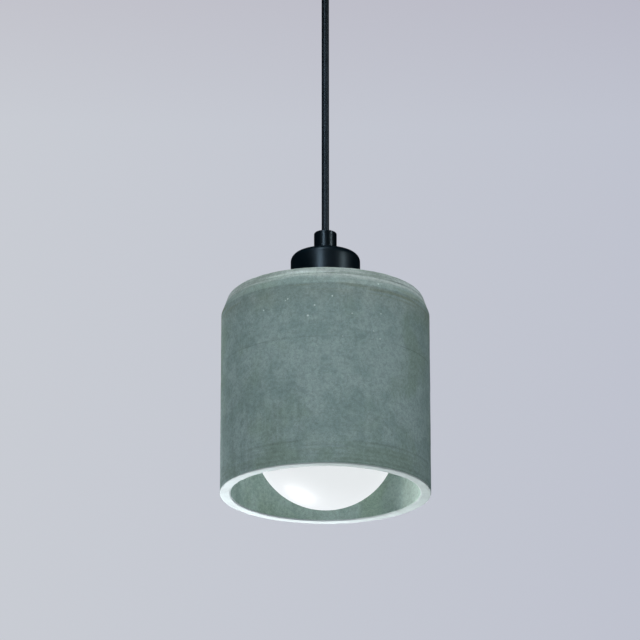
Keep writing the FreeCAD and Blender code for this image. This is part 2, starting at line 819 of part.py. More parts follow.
def bulb_globe():
    """The opal glass globe, with a short neck that sits in the collar."""
    outer = globe_diameter / 2
    inner, neck_inner = outer - glass_wall, neck_radius - glass_wall
    neck_top = globe_neck + neck_length
    inner_neck = globe_centre + math.sqrt(inner ** 2 - neck_inner ** 2)
    inner_bottom = globe_bottom + glass_wall
    return turned([
        Part.Arc(at(0, globe_bottom), at(outer, globe_centre), at(neck_radius, globe_neck)).toShape(),
        Part.makeLine(at(neck_radius, globe_neck), at(neck_radius, neck_top)),
        Part.makeLine(at(neck_radius, neck_top), at(neck_inner, neck_top)),
        Part.makeLine(at(neck_inner, neck_top), at(neck_inner, inner_neck)),
        Part.Arc(at(neck_inner, inner_neck), at(inner, globe_centre), at(0, inner_bottom)).toShape(),
        Part.makeLine(at(0, inner_bottom), at(0, globe_bottom)),
    ])


def led_chips():
    """The LEDs, in a circle under the board."""
    width, length, height = led_size
    chips = []
    for i in range(led_count):
        chip = block((led_circle_radius - length / 2, -width / 2, board_low - height),
                     (led_circle_radius + length / 2, width / 2, board_low))
        chip.rotate(Vector(0, 0, 0), Vector(0, 0, 1), 360 * i / led_count)
        chips.append(chip)
    return chips


def driver_board():
    """The upright circuit board that feeds the LEDs."""
    half = driver_thickness / 2
    return block((-driver_width / 2, -half, board_high),
                 (driver_width / 2, half, collar_top + driver_rise))


def driver_components():
    """A capacitor, glued on by a pad, and a choke on the driver board."""
    face, low = driver_thickness / 2, board_high + 2.0
    capacitor_x = -driver_width / 2 + capacitor_radius + 1.5
    capacitor = Part.makeCylinder(capacitor_radius, capacitor_height,
                                  Vector(capacitor_x, face + capacitor_radius, low))
    pad = block((capacitor_x - 1.0, face, low), (capacitor_x + 1.0, face + capacitor_radius, low + 2.0))
    wide, deep, tall = choke_size
    choke = block((-1.0, -face - deep, low + 1.0), (wide - 1.0, -face, low + 1.0 + tall))
    return [capacitor.fuse(pad).removeSplitter(), choke]


def nodes():
    """Every sub-part by name, each a solid or a list of separate solids."""
    return {
        "ceiling_bracket": ceiling_bracket(),
        "canopy": canopy(),
        "canopy_screws": canopy_screws(),
        "ceiling_nipple": nipple(canopy_base - socket_depth, canopy_floor + ceiling_nipple_rise),
        "ceiling_lock_washer": lock_washer(canopy_floor),
        "ceiling_nut": hex_nut(canopy_floor + washer_thickness),
        "ceiling_cord_grip": cord_grip(cord_top, canopy_base),
        "ceiling_grip_screw": grip_screw(cord_top, canopy_base),
        "ceiling_cord_tail": cord_tail(cord_top, ceiling_tail_end),
        "ceiling_core_brown": wire_tube(ceiling_core_route(1), core_radius),
        "ceiling_core_blue": wire_tube(ceiling_core_route(-1), core_radius),
        "terminal_block": terminal_block(),
        "terminal_barrels": terminal_barrels(),
        "terminal_screws": terminal_screws(),
        "block_screw": block_screw(),
        "pendant_cord": pendant_cord(),
        "lamp_cord_grip": cord_grip(cord_bottom, cup_top),
        "lamp_grip_screw": grip_screw(cord_bottom, cup_top),
        "lamp_cord_tail": cord_tail(cord_bottom, lamp_tail_end),
        "lamp_core_brown": wire_tube(lamp_core_route(1), core_radius),
        "lamp_core_blue": wire_tube(lamp_core_route(-1), core_radius),
        "lamp_nipple": nipple(dome_high - boss_length, cup_top + socket_depth),
        "lamp_lock_washer": lock_washer(cup_top - cup_wall - washer_thickness),
        "lamp_nut": hex_nut(lamp_nut_low),
        "cup": cup(),
        "cup_gasket": cup_gasket(),
        "holder_dome": holder_dome(),
        "holder_dome_screw": holder_dome_screw(),
        "holder_sleeve": holder_sleeve(),
        "holder_insert": holder_insert(),
        "holder_screw_shell": holder_screw_shell(),
        "holder_centre_contact": holder_centre_contact(),
        "holder_terminals": holder_terminals(),
        "holder_terminal_screws": holder_terminal_screws(),
        "concrete_shade": concrete_shade(),
        "ring_gasket": ring_gasket(),
        "shade_ring": shade_ring(),
        "bulb_contact_tip": bulb_contact_tip(),
        "bulb_insulator": bulb_insulator(),
        "bulb_screw_shell": bulb_screw_shell(),
        "bulb_collar": bulb_collar(),
        "bulb_globe": bulb_globe(),
        "led_board": disc(board_radius, board_low, board_high),
        "led_chips": led_chips(),
        "driver_board": driver_board(),
        "driver_components": driver_components(),
    }


os.makedirs("parts", exist_ok=True)
for name, piece in nodes().items():
    solids = piece if isinstance(piece, list) else [piece]
    shape = solids[0] if len(solids) == 1 else Part.makeCompound(solids)
    shape.exportStep(f"parts/{name}.step")
    print(name, "valid" if shape.isValid() else "NOT VALID", len(shape.Solids), "solids")
tube_volume = math.pi * cord_radius ** 2 * (cord_free_length + 4 / 3 * cord_radius)
print("pendant cord: one straight run, no arcs; volume over section times length",
      round(pendant_cord().Volume / tube_volume, 4))
for route in (ceiling_core_route(1), lamp_core_route(1)):
    print("core radii", [round(radius, 1) for radius in path(route)[1]])
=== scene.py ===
"""Looks of a pendant ceiling light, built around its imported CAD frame. Metres, +Z up."""
import json
import math

import bmesh
import bpy
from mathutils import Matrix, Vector, noise


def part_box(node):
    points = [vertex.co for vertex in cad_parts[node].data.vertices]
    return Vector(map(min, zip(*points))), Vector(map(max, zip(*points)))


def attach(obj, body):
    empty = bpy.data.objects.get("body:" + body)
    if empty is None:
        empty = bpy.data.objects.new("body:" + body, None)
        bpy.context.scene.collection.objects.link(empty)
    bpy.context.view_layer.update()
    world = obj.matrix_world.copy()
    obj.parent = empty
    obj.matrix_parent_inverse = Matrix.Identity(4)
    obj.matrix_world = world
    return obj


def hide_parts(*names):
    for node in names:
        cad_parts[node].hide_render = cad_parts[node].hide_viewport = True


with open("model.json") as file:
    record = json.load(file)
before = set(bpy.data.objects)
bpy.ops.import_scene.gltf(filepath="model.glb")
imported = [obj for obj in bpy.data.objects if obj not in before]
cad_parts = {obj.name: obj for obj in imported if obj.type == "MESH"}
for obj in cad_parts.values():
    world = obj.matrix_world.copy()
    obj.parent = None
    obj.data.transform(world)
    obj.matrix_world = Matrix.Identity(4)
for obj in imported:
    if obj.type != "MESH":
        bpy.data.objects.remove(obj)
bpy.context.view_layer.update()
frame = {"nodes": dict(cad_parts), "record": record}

MM = 0.001

# ---- Places, from the frame ----
shade_low, shade_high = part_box("concrete_shade")
cup_low, cup_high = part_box("cup")
globe_low, globe_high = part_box("bulb_globe")
collar_low, collar_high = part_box("bulb_collar")
cap_low, cap_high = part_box("bulb_screw_shell")
shell_low, shell_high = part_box("holder_screw_shell")
rim = shade_low.z
shade_radius = shade_high.x
shade_middle = Vector((0, 0, (shade_low.z + shade_high.z) / 2))

# ---- Nodes: tools ----
MIX_A, MIX_B, MIX_COLOUR = 6, 7, 2      # the colour sockets of a Mix node, two in and one out


def feed(tree, socket, value):
    """Links a socket to the value, or sets it, if the value is a number, colour or vector."""
    if isinstance(value, bpy.types.NodeSocket):
        tree.links.new(value, socket)
    elif isinstance(value, tuple) and socket.type == "RGBA":
        socket.default_value = (*value, 1)
    else:
        socket.default_value = value


def add_node(tree, kind, inputs, output=0, **settings):
    """Adds a node, feeds its inputs, and gives one of its outputs."""
    node = tree.nodes.new(kind)
    for key, value in settings.items():
        setattr(node, key, value)
    for key, value in inputs.items():
        feed(tree, node.inputs[key], value)
    return node.outputs[output]


class Look:
    """A material being made: its shader, and short ways to add nodes that feed it."""

    def __init__(self, name, constants):
        self.material = bpy.data.materials.new(name)
        self.material.use_nodes = True
        self.tree = self.material.node_tree
        self.shader = self.tree.nodes["Principled BSDF"]
        for key, value in constants.items():
            self.shader.inputs[key].default_value = value
        self.place = self.node("ShaderNodeTexCoord", {}, "Object")

    def node(self, kind, inputs, output=0, **settings):
        return add_node(self.tree, kind, inputs, output, **settings)

    def set(self, name, value):
        feed(self.tree, self.shader.inputs[name], value)

    def noise(self, scale, detail=2.0, roughness=0.5, stretch=None):
        """Smooth noise, in cycles per metre; stretch scales it along each axis."""
        vector = self.place
        if stretch:
            vector = self.node("ShaderNodeMapping", {"Vector": self.place, "Scale": stretch})
        return self.node("ShaderNodeTexNoise", {
            "Vector": vector, "Scale": scale, "Detail": detail, "Roughness": roughness}, "Fac")

    def math(self, operation, a, b=0.0):
        return self.node("ShaderNodeMath", {0: a, 1: b}, operation=operation)

    def times(self, product, *others):
        for other in others:
            product = self.math("MULTIPLY", product, other)
        return product

    def weighed(self, a, b, share):
        """The sum of both values, the second with this share and the first with the rest."""
        return self.math("ADD", self.times(a, 1 - share), self.times(b, share))

    def remap(self, value, low, high, to_low=0.0, to_high=1.0):
        """The value carried smoothly from one range to another, and held at its ends."""
        return self.node("ShaderNodeMapRange", {
            "Value": value, "From Min": low, "From Max": high, "To Min": to_low,
            "To Max": to_high}, interpolation_type="SMOOTHSTEP")

    def mix(self, factor, a, b, blend="MIX"):
        return self.node("ShaderNodeMix", {0: factor, MIX_A: a, MIX_B: b}, MIX_COLOUR,
                         data_type="RGBA", blend_type=blend)

    def shaded(self, colour, value):
        """The colour made lighter or darker by a number."""
        grey = self.node("ShaderNodeCombineXYZ", {0: value, 1: value, 2: value})
        return self.mix(1.0, colour, grey, "MULTIPLY")

    def darker(self, colour, amount):
        """The colour with this part of its light taken away."""
        return self.shaded(colour, self.math("SUBTRACT", 1.0, amount))

    def dots(self, scale, radius, share):
        """Round spots of a radius in metres; share is the part of the cells that have one."""
        cell = self.tree.nodes.new("ShaderNodeTexVoronoi")
        feed(self.tree, cell.inputs["Vector"], self.place)
        feed(self.tree, cell.inputs["Scale"], scale)
        size = radius * scale
        spot = self.remap(cell.outputs["Distance"], size * 0.5, size, 1.0, 0.0)
        pick = self.node("ShaderNodeSeparateXYZ", {0: cell.outputs["Color"]})
        return self.times(spot, self.math("LESS_THAN", pick, share))

    def relief(self, *layers):
        """Bumps on the surface, from (height, depth in metres) pairs."""
        normal = None
        for height, depth in layers:
            inputs = {"Height": height, "Distance": depth, "Strength": 1.0}
            if normal:
                inputs["Normal"] = normal
            normal = self.node("ShaderNodeBump", inputs)
        self.set("Normal", normal)


# ---- Camera, light and floor ----
def make_camera():
    """The camera looks up at the shade from below its rim, along +Y."""
    elevation, sensor, lens, farthest = 19.22, 36, 220.73, 60
    side, back, below = -3.64 * MM, -2492.4 * MM, 746.6 * MM
    data = bpy.data.cameras.new("camera")
    data.sensor_width = sensor
    data.lens = lens
    data.clip_end = farthest
    camera = bpy.data.objects.new("camera", data)
    camera.location = (side, back, rim - below)
    camera.rotation_euler = (math.radians(90 + elevation), 0, 0)
    bpy.context.scene.collection.objects.link(camera)
    bpy.context.scene.camera = camera
    bpy.context.scene.view_settings.view_transform = "Standard"


def softbox(name, place, size, power, colour=(1, 1, 1), matt=True, gloss=True):
    """A rectangular light at a place from the shade's middle, which no camera sees.

    It faces the shade. matt and gloss say which reflections of it show."""
    data = bpy.data.lights.new(name, "AREA")
    data.shape = "RECTANGLE"
    data.size, data.size_y = size
    data.energy = power
    data.color = colour
    light = bpy.data.objects.new(name, data)
    light.location = shade_middle + Vector(place)
    light.rotation_euler = (-Vector(place)).to_track_quat("-Z", "Y").to_euler()
    light.visible_camera = False
    light.visible_diffuse = matt
    light.visible_glossy = gloss
    bpy.context.scene.collection.objects.link(light)


def make_lights():
    """Three lamps for the concrete, and three strips that only gloss shows, for the metal."""
    blue, pale_blue = (0.56, 0.79, 1.0), (0.69, 0.90, 1.0)
    softbox("low_back", (-0.27, 0.46, -0.52), (0.24, 0.24), 9)
    softbox("overhead", (0.05, -0.35, 1.15), (0.8, 0.8), 9, gloss=False)
    softbox("front", (-0.50, -1.9, 0.2), (1.4, 1.2), 7.4, gloss=False)
    softbox("strip_left", (-0.52, -1.75, 0.15), (0.30, 1.4), 26, blue, matt=False)
    softbox("strip_top", (-0.38, -0.87, 1.26), (0.25, 1.5), 12, blue, matt=False)
    softbox("strip_right", (1.55, -0.90, 0.15), (0.18, 1.4), 20, pale_blue, matt=False)


def make_world():
    """A cool wall for the camera, dimmer at its top, an even ambient light, and a faint glow
    that glossy surfaces reflect."""
    world = bpy.data.worlds.new("studio")
    bpy.context.scene.world = world
    world.use_nodes = True
    tree = world.node_tree
    tree.nodes.clear()
    half_across, dim_from, dim_to = 0.09, 0.375, 0.405      # parts of the view's direction
    ambient_light, reflected_light = ((0.88, 0.97, 1.0), 0.48), ((0.60, 0.82, 1.0), 0.012)
    left, right, dimming = (0.585, 0.607, 0.657), (0.520, 0.541, 0.622), (0.935, 0.905, 0.918)
    axes = tree.nodes.new("ShaderNodeSeparateXYZ")
    feed(tree, axes.inputs[0], add_node(tree, "ShaderNodeTexCoord", {}, "Generated"))
    across = add_node(tree, "ShaderNodeMapRange", {
        "Value": axes.outputs["X"], "From Min": -half_across, "From Max": half_across})
    wall = add_node(tree, "ShaderNodeMix", {0: across, MIX_A: left, MIX_B: right}, MIX_COLOUR,
                    data_type="RGBA")
    upward = add_node(tree, "ShaderNodeMapRange", {
        "Value": axes.outputs["Z"], "From Min": dim_from, "From Max": dim_to})
    wall = add_node(tree, "ShaderNodeMix", {0: upward, MIX_A: wall, MIX_B: dimming}, MIX_COLOUR,
                    data_type="RGBA", blend_type="MULTIPLY")
    seen, ambient, reflected = (
        add_node(tree, "ShaderNodeBackground", {"Color": colour, "Strength": strength})
        for colour, strength in ((wall, 1.0), ambient_light, reflected_light))
    rays = tree.nodes.new("ShaderNodeLightPath")
    unseen = add_node(tree, "ShaderNodeMixShader", {
        0: rays.outputs["Is Glossy Ray"], 1: ambient, 2: reflected})
    both = add_node(tree, "ShaderNodeMixShader", {
        0: rays.outputs["Is Camera Ray"], 1: unseen, 2: seen})
    tree.links.new(both, tree.nodes.new("ShaderNodeOutputWorld").inputs[0])


def make_floor():
    """A plain pale floor, far below, with a glow that only the camera sees."""
    half, height = 40.0, -3.6
    glow = 0.33
    corners = [(-half, -half, height), (half, -half, height), (half, half, height),
               (-half, half, height)]
    mesh = bpy.data.meshes.new("floor")
    mesh.from_pydata(corners, [], [(0, 1, 2, 3)])
    floor = bpy.data.objects.new("floor", mesh)
    bpy.context.scene.collection.objects.link(floor)
    look = Look("floor", {"Roughness": 0.9})
    tone = look.remap(look.noise(1.5, 3), 0.3, 0.7)
    look.set("Base Color", look.mix(tone, (0.58, 0.56, 0.61), (0.61, 0.59, 0.64)))
    look.set("Emission Color", (0.96, 0.93, 1.0))
    seen = look.node("ShaderNodeLightPath", {}, "Is Camera Ray")
    look.set("Emission Strength", look.times(seen, glow))
    floor.data.materials.append(look.material)


# ---- Materials ----
class Concrete(Look):
    """Cast greenish grey concrete: mottled, paler over its taper, chalk white on its rim, with
    painted light and shade.

    Its methods take the colour so far and give it with one more feature. Lengths that they
    name are in millimetres, and heights are over the rim."""

    def __init__(self):
        super().__init__("concrete", {"Specular IOR Level": 0.22})
        axes = self.tree.nodes.new("ShaderNodeSeparateXYZ")
        feed(self.tree, axes.inputs[0], self.place)
        self.side, self.deep = axes.outputs["X"], axes.outputs["Y"]
        self.height = self.math("SUBTRACT", axes.outputs["Z"], rim)
        flat = self.node("ShaderNodeCombineXYZ", {0: self.side, 1: self.deep})
        radius = self.node("ShaderNodeVectorMath", {0: flat}, "Value", operation="LENGTH")
        self.inside = self.times(self.falling(radius, 64, 66), self.falling(self.height, 124, 128))
        self.outside = self.math("SUBTRACT", 1.0, self.inside)
        self.broad = self.noise(26, 3, 0.5)
        self.patches = self.noise(95, 5, 0.62)
        self.grain = self.noise(430, 4, 0.68)
        self.fine = self.noise(1500, 2, 0.6)
        self.wander = self.noise(30, 2, 0.5)
        self.pits = self.dots(330, 0.42 * MM, 0.75)
        self.tone = self.weighed(self.broad, self.patches, 0.55)
        arcs = self.noise(1.0, 3, 0.6, (26, 26, 620))
        self.streaks = self.weighed(arcs, self.broad, 0.4)

    def rising(self, value, low, high):
        """From nothing at low to one at high."""
        return self.remap(value, low * MM, high * MM)

    def falling(self, value, low, high):
        """From one at low to nothing at high."""
        return self.remap(value, low * MM, high * MM, 1.0, 0.0)

    def near(self, level, width):
        """One at a height, down to nothing that far above or below it."""
        gap = self.math("ABSOLUTE", self.math("SUBTRACT", self.height, level * MM))
        return self.falling(gap, 0.0, width)

    def mottled(self):
        """Broad patches of two greys, greener in places."""
        slate, mist, moss = (0.208, 0.290, 0.275), (0.280, 0.366, 0.356), (0.204, 0.284, 0.238)
        colour = self.mix(self.remap(self.tone, 0.38, 0.62), slate, mist)
        green = self.remap(self.noise(21, 3, 0.6), 0.46, 0.64, 0.0, 0.75)
        return self.mix(green, colour, moss)

    def cavity(self, colour):
        """Painted light inside: the inside is painted paler, with a painted pool of light at its
        right end and a painted shadow just before that.
        """
        # painted light: the whole inside is painted paler
        colour = self.mix(self.inside, colour, (1.47, 1.47, 1.38), "MULTIPLY")
        # painted pool of light on the right end of the inside
        edge = self.math("ADD", self.side, self.times(self.wander, 4.0 * MM))
        light_patch = self.times(self.inside, self.rising(edge, 52.5, 55.5))
        colour = self.mix(light_patch, colour, (1.06, 1.02, 1.00), "MULTIPLY")
        # painted shadow on the inside, just left of that pool of light
        painted_shadow = self.times(self.rising(self.side, 34, 42), self.falling(self.side, 47, 54),
                          self.inside, 0.22)
        return self.darker(colour, painted_shadow)

    def taper(self, colour):
        """A pale streaky band over the taper, with olive smudges along its lower edge."""
        reach = self.noise(1.0, 3, 0.6, (17, 17, 110))
        edge = self.math("ADD", self.height, self.times(reach, 24.0 * MM))
        pale = self.mix(self.remap(self.streaks, 0.38, 0.60),
                        (0.245, 0.300, 0.272), (0.440, 0.505, 0.496))
        colour = self.mix(self.rising(edge, 136, 145), colour, pale)
        smudge = self.times(self.near(123, 8), self.remap(self.streaks, 0.46, 0.60, 0.0, 0.75))
        colour = self.mix(smudge, colour, (0.192, 0.238, 0.180))
        stain = self.times(self.near(119, 15), self.outside)
        return self.mix(stain, colour, (1.0, 0.962, 0.942), "MULTIPLY")

    def form_marks_and_painted_shade(self, colour):
        """Thin dark lines round the shade, the lowest on the right being painted shade on the
        rounding over the rim, a pale streak on its shoulder, and a low smear.
        """
        fade = self.times(self.outside, self.remap(self.wander, 0.36, 0.58, 0.25, 1.0))
        gaps = self.noise(1.0, 2, 0.5, (20, 20, 90))
        broken = self.times(self.outside, self.remap(gaps, 0.36, 0.54))
        right_end = self.rising(self.side, 36, 50)
        right_half_shade = self.times(self.outside, self.rising(self.side, -10, 25))
        lines = [       # height, half width, darkness, where
            (86.9, 0.6, 0.24, fade), (15.7, 1.4, 0.21, broken), (12.6, 1.0, 0.10, fade),
            (9.9, 1.3, 0.17, broken), (6.8, 1.1, 0.12, fade), (3.6, 1.6, 0.16, broken),
            # the line at 1.1 on the right half is painted shade on the outer rounding just over
            # the rim
            (1.1, 0.8, 0.20, right_half_shade), (104.0, 0.9, 0.06, fade), (131.5, 0.7, 0.16, broken),
            (134.3, 0.6, 0.20, fade), (135.4, 1.2, 0.27, right_end),
            (131.8, 1.1, 0.27, right_end)]
        for level, width, darkness, where in lines:
            colour = self.darker(colour, self.times(self.near(level, width), where, darkness))
        streak = self.times(self.near(132, 3.4), self.rising(self.side, -44, -30),
                            self.falling(self.side, -14, 4))
        colour = self.shaded(colour, self.math("ADD", 1.0, self.times(streak, 0.42)))
        smear = self.remap(self.noise(1.0, 3, 0.6, (13, 13, 380)), 0.48, 0.64, 0.0, 0.42)
        smear = self.times(smear, self.near(9, 11), self.outside)
        return self.mix(smear, colour, (0.195, 0.268, 0.225))

    def grained(self, colour):
        """Upright brush lines at the lower left, two sizes of grain, and dark pits."""
        brush = self.remap(self.noise(1.0, 3, 0.6, (230, 230, 20)), 0.45, 0.62)
        low_left = self.times(self.falling(self.height, 40, 75), self.falling(self.side, -30, 5))
        colour = self.darker(colour, self.times(brush, low_left, 0.12))
        colour = self.shaded(colour, self.remap(self.grain, 0.36, 0.60, 0.86, 1.05))
        colour = self.shaded(colour, self.remap(self.fine, 0.30, 0.70, 0.89, 1.10))
        depth = self.remap(self.noise(38, 2, 0.5), 0.44, 0.60, 0.12, 0.36)
        return self.darker(colour, self.times(self.pits, depth))

    def specked(self, colour):
        """Small bright specks of lime, more of them high up, and six placed in front."""
        specks = self.times(self.dots(95, 0.75 * MM, 0.5),
                            self.remap(self.height, 70 * MM, 105 * MM, 0.15, 0.85))
        placed = [      # side, height, radius
            (-24.8, 114.2, 0.50), (-7.2, 108.4, 0.62), (-11.6, 101.4, 0.72),
            (-40.7, 109.2, 0.50), (36.4, 105.8, 0.46), (17.4, 103.4, 0.42)]
        for side, level, radius in placed:
            front = -math.sqrt(shade_radius ** 2 - (side * MM) ** 2)
            spot = Vector((side * MM, front, rim + level * MM))
            gap = self.node("ShaderNodeVectorMath", {0: self.place, 1: spot}, "Value",
                            operation="DISTANCE")
            one = self.remap(gap, radius * 0.6 * MM, radius * 1.2 * MM, 0.8, 0.0)
            specks = self.math("MAXIMUM", specks, one)
        return self.mix(specks, colour, (0.66, 0.75, 0.74))

    def pale_rim_and_painted_light(self, colour):
        """The rim's flat face is chalk white, partly its own colour and partly painted light, and
        is painted lighter towards the back on the left, where the low lamp's light falls.
        """
        # painted light: the rim face is painted lighter towards the back on the left
        toward = self.math("ADD", self.times(self.side, -0.75), self.times(self.deep, 0.50))
        rim_colour_and_light = self.mix(self.rising(toward, -55, 45), (0.355, 0.41, 0.40), (0.50, 0.56, 0.565))
        rim_colour_and_light = self.shaded(rim_colour_and_light, self.remap(self.patches, 0.35, 0.65, 0.92, 1.05))
        return self.mix(self.falling(self.height, 0.55, 0.95), colour, rim_colour_and_light)


def concrete():
    look = Concrete()
    colour = look.mottled()
    for feature in (look.cavity, look.taper, look.form_marks_and_painted_shade, look.grained, look.specked,
                    look.pale_rim_and_painted_light):
        colour = feature(colour)
    look.set("Base Color", colour)
    look.set("Roughness", look.remap(look.tone, 0.35, 0.65, 0.74, 0.92))
    look.relief((look.patches, 0.16 * MM), (look.grain, 0.10 * MM), (look.fine, 0.03 * MM),
                (look.math("SUBTRACT", 1.0, look.pits), 0.20 * MM))
    return look.material


def black_metal():
    """Satin black lacquer on spun steel, with a faint orange peel and dust."""
    look = Look("black_metal", {"Specular IOR Level": 0.30, "IOR": 1.45})
    broad = look.noise(45, 3, 0.55)
    dust = look.dots(420, 0.12 * MM, 0.08)
    colour = look.mix(look.remap(broad, 0.35, 0.65),
                      (0.0002, 0.0030, 0.0056), (0.0004, 0.0043, 0.0078))
    look.set("Base Color", look.mix(look.times(dust, 0.5), colour, (0.03, 0.035, 0.04)))
    look.set("Roughness", look.remap(broad, 0.35, 0.65, 0.30, 0.37))
    look.relief((look.noise(700, 2, 0.5), 0.012 * MM))
    return look.material


def cord_sheath():
    """Smooth black sheath with faint lines that its die drew along it."""
    look = Look("cord_sheath", {"Specular IOR Level": 0.20})
    drawn = look.noise(1.0, 2, 0.5, (1500, 1500, 12))
    broad = look.noise(40, 3, 0.6)
    look.set("Base Color", look.mix(look.remap(broad, 0.35, 0.65),
                                    (0.003, 0.006, 0.010), (0.006, 0.010, 0.016)))
    look.set("Roughness", look.remap(broad, 0.35, 0.65, 0.38, 0.46))
    look.relief((drawn, 0.03 * MM), (look.noise(900, 2, 0.5), 0.01 * MM))
    return look.material


def opal_glass():
    """White opal glass with a satin skin: a dark own colour under a soft glow, partly the bulb's
    dim light and partly painted light standing in for the lamps that light the white glass.
    """
    # the glow is partly painted light, standing in for light that falls on the white glass
    look = Look("opal_glass", {
        "Specular IOR Level": 0.08, "Emission Color": (0.95, 0.985, 1.0, 1),
        "Emission Strength": 0.81})
    broad = look.noise(35, 2, 0.5)
    look.set("Base Color", look.mix(look.remap(broad, 0.35, 0.65),
                                    (0.045, 0.048, 0.055), (0.055, 0.060, 0.066)))
    look.set("Roughness", look.remap(broad, 0.35, 0.65, 0.36, 0.42))
    look.relief((look.noise(1400, 2, 0.5), 0.004 * MM))
    return look.material


def green_board():
    """Green lacquered circuit board with copper tracks under the lacquer."""
    look = Look("green_board", {})
    tracks = look.node("ShaderNodeTexBrick", {
        "Vector": look.place, "Scale": 260.0, "Mortar Size": 0.16}, "Fac")
    tone = look.noise(300, 3, 0.6)
    base = look.mix(look.remap(tone, 0.35, 0.65), (0.010, 0.085, 0.030), (0.015, 0.120, 0.045))
    look.set("Base Color", look.mix(tracks, base, (0.05, 0.19, 0.06)))
    look.set("Roughness", look.remap(tone, 0.35, 0.65, 0.28, 0.42))
    look.relief((tracks, 0.03 * MM))
    return look.material


def surface(name, dark, light, roughness, metallic=0.0, grain=900, depth=0.03, lines=None):
    """A material that wanders between two colours, with a fine grain or turning lines.

    grain is in cycles per metre, depth in millimetres, and lines stretches the grain."""
    look = Look(name, {"Metallic": metallic})
    broad = look.noise(60, 3, 0.55)
    fine = look.noise(grain, 2, 0.6, lines) if lines else look.noise(grain, 3, 0.6)
    tone = look.weighed(broad, fine, 0.4)
    look.set("Base Color", look.mix(look.remap(tone, 0.36, 0.64), dark, light))
    spread = 0.06
    look.set("Roughness", look.remap(tone, 0.35, 0.65, roughness - spread, roughness + spread))
    look.relief((fine, depth * MM))
    return look.material


def make_materials():
    """Every material, by the name of its slot in the record."""
    turned = (0.03, 0.03, 1.0)
    materials = {
        "concrete": concrete(),
        "black_metal": black_metal(),
        "cord_sheath": cord_sheath(),
        "opal_glass": opal_glass(),
        "green_board": green_board(),
    }
    finishes = {        # dark and light colour, roughness, and what differs from the usual
        "black_screws": ((0.006, 0.008, 0.010), (0.016, 0.018, 0.021), 0.36,
                         {"grain": 1500, "depth": 0.02}),
        "brown_core": ((0.085, 0.030, 0.012), (0.125, 0.046, 0.018), 0.42, {}),
        "blue_core": ((0.010, 0.050, 0.230), (0.016, 0.078, 0.310), 0.42, {}),
        "white_moulding": ((0.66, 0.65, 0.60), (0.76, 0.75, 0.70), 0.48,
                           {"grain": 1300, "depth": 0.03}),
        "brass": ((0.56, 0.37, 0.13), (0.78, 0.56, 0.24), 0.30,
                  {"metallic": 1.0, "grain": 2200, "depth": 0.02, "lines": turned}),
        "zinc_steel": ((0.46, 0.47, 0.46), (0.66, 0.68, 0.68), 0.42,
                       {"metallic": 0.5, "grain": 700, "depth": 0.03}),
        "black_rubber": ((0.010, 0.011, 0.012), (0.022, 0.024, 0.026), 0.75,
                         {"grain": 1100, "depth": 0.06}),
        "black_moulding": ((0.011, 0.013, 0.015), (0.021, 0.024, 0.027), 0.50,
                           {"grain": 1600, "depth": 0.05}),
        "porcelain": ((0.72, 0.71, 0.66), (0.82, 0.81, 0.77), 0.26,
                      {"grain": 500, "depth": 0.02}),
        "solder": ((0.36, 0.37, 0.38), (0.60, 0.61, 0.62), 0.38,
                   {"metallic": 1.0, "grain": 450, "depth": 0.10}),
        "black_glass": ((0.006, 0.005, 0.007), (0.014, 0.012, 0.014), 0.12,
                        {"grain": 350, "depth": 0.03}),
        "nickel_shell": ((0.52, 0.50, 0.46), (0.74, 0.72, 0.67), 0.26,
                         {"metallic": 1.0, "grain": 2400, "depth": 0.02, "lines": turned}),
        "white_collar": ((0.70, 0.71, 0.71), (0.79, 0.80, 0.80), 0.42,
                         {"grain": 1400, "depth": 0.03}),
        "board_aluminium": ((0.60, 0.62, 0.63), (0.80, 0.81, 0.82), 0.40,
                            {"metallic": 0.6, "grain": 1200, "depth": 0.02}),
        "led_phosphor": ((0.72, 0.50, 0.06), (0.86, 0.66, 0.12), 0.50,
                         {"grain": 2500, "depth": 0.03}),
        "driver_parts": ((0.015, 0.020, 0.030), (0.040, 0.050, 0.065), 0.38,
                         {"grain": 800, "depth": 0.03}),
    }
    for slot, (dark, light, roughness, more) in finishes.items():
        materials[slot] = surface(slot, dark, light, roughness, **more)
    return materials


# ---- Meshes: tools ----
ON_AXIS = 1e-6          # a radius under this is the axis itself


def rounded(corners, steps):
    """A closed outline of (radius, height, rounding) corners, with its roundings drawn."""
    points = []
    for i, (radius, height, size) in enumerate(corners):
        corner = Vector((radius, height))
        before = Vector(corners[i - 1][:2]) - corner
        after = Vector(corners[(i + 1) % len(corners)][:2]) - corner
        before.normalize()
        after.normalize()
        half = before.angle(after) / 2
        centre = corner + (before + after).normalized() * size / math.sin(half)
        first = corner + before * size / math.tan(half) - centre
        last = corner + after * size / math.tan(half) - centre
        points += [centre + first.slerp(last, k / steps) * size for k in range(steps + 1)]
    return points


def divided(points, longest, inner=0.0, inner_longest=None):
    """The closed outline with its long runs cut into even steps, longer ones within inner."""
    result = []
    for a, b in zip(points, points[1:] + points[:1]):
        step = inner_longest if inner_longest and max(a.x, b.x) < inner else longest
        count = max(1, math.ceil((b - a).length / step))
        result += [a.lerp(b, k / count) for k in range(count)]
    return result


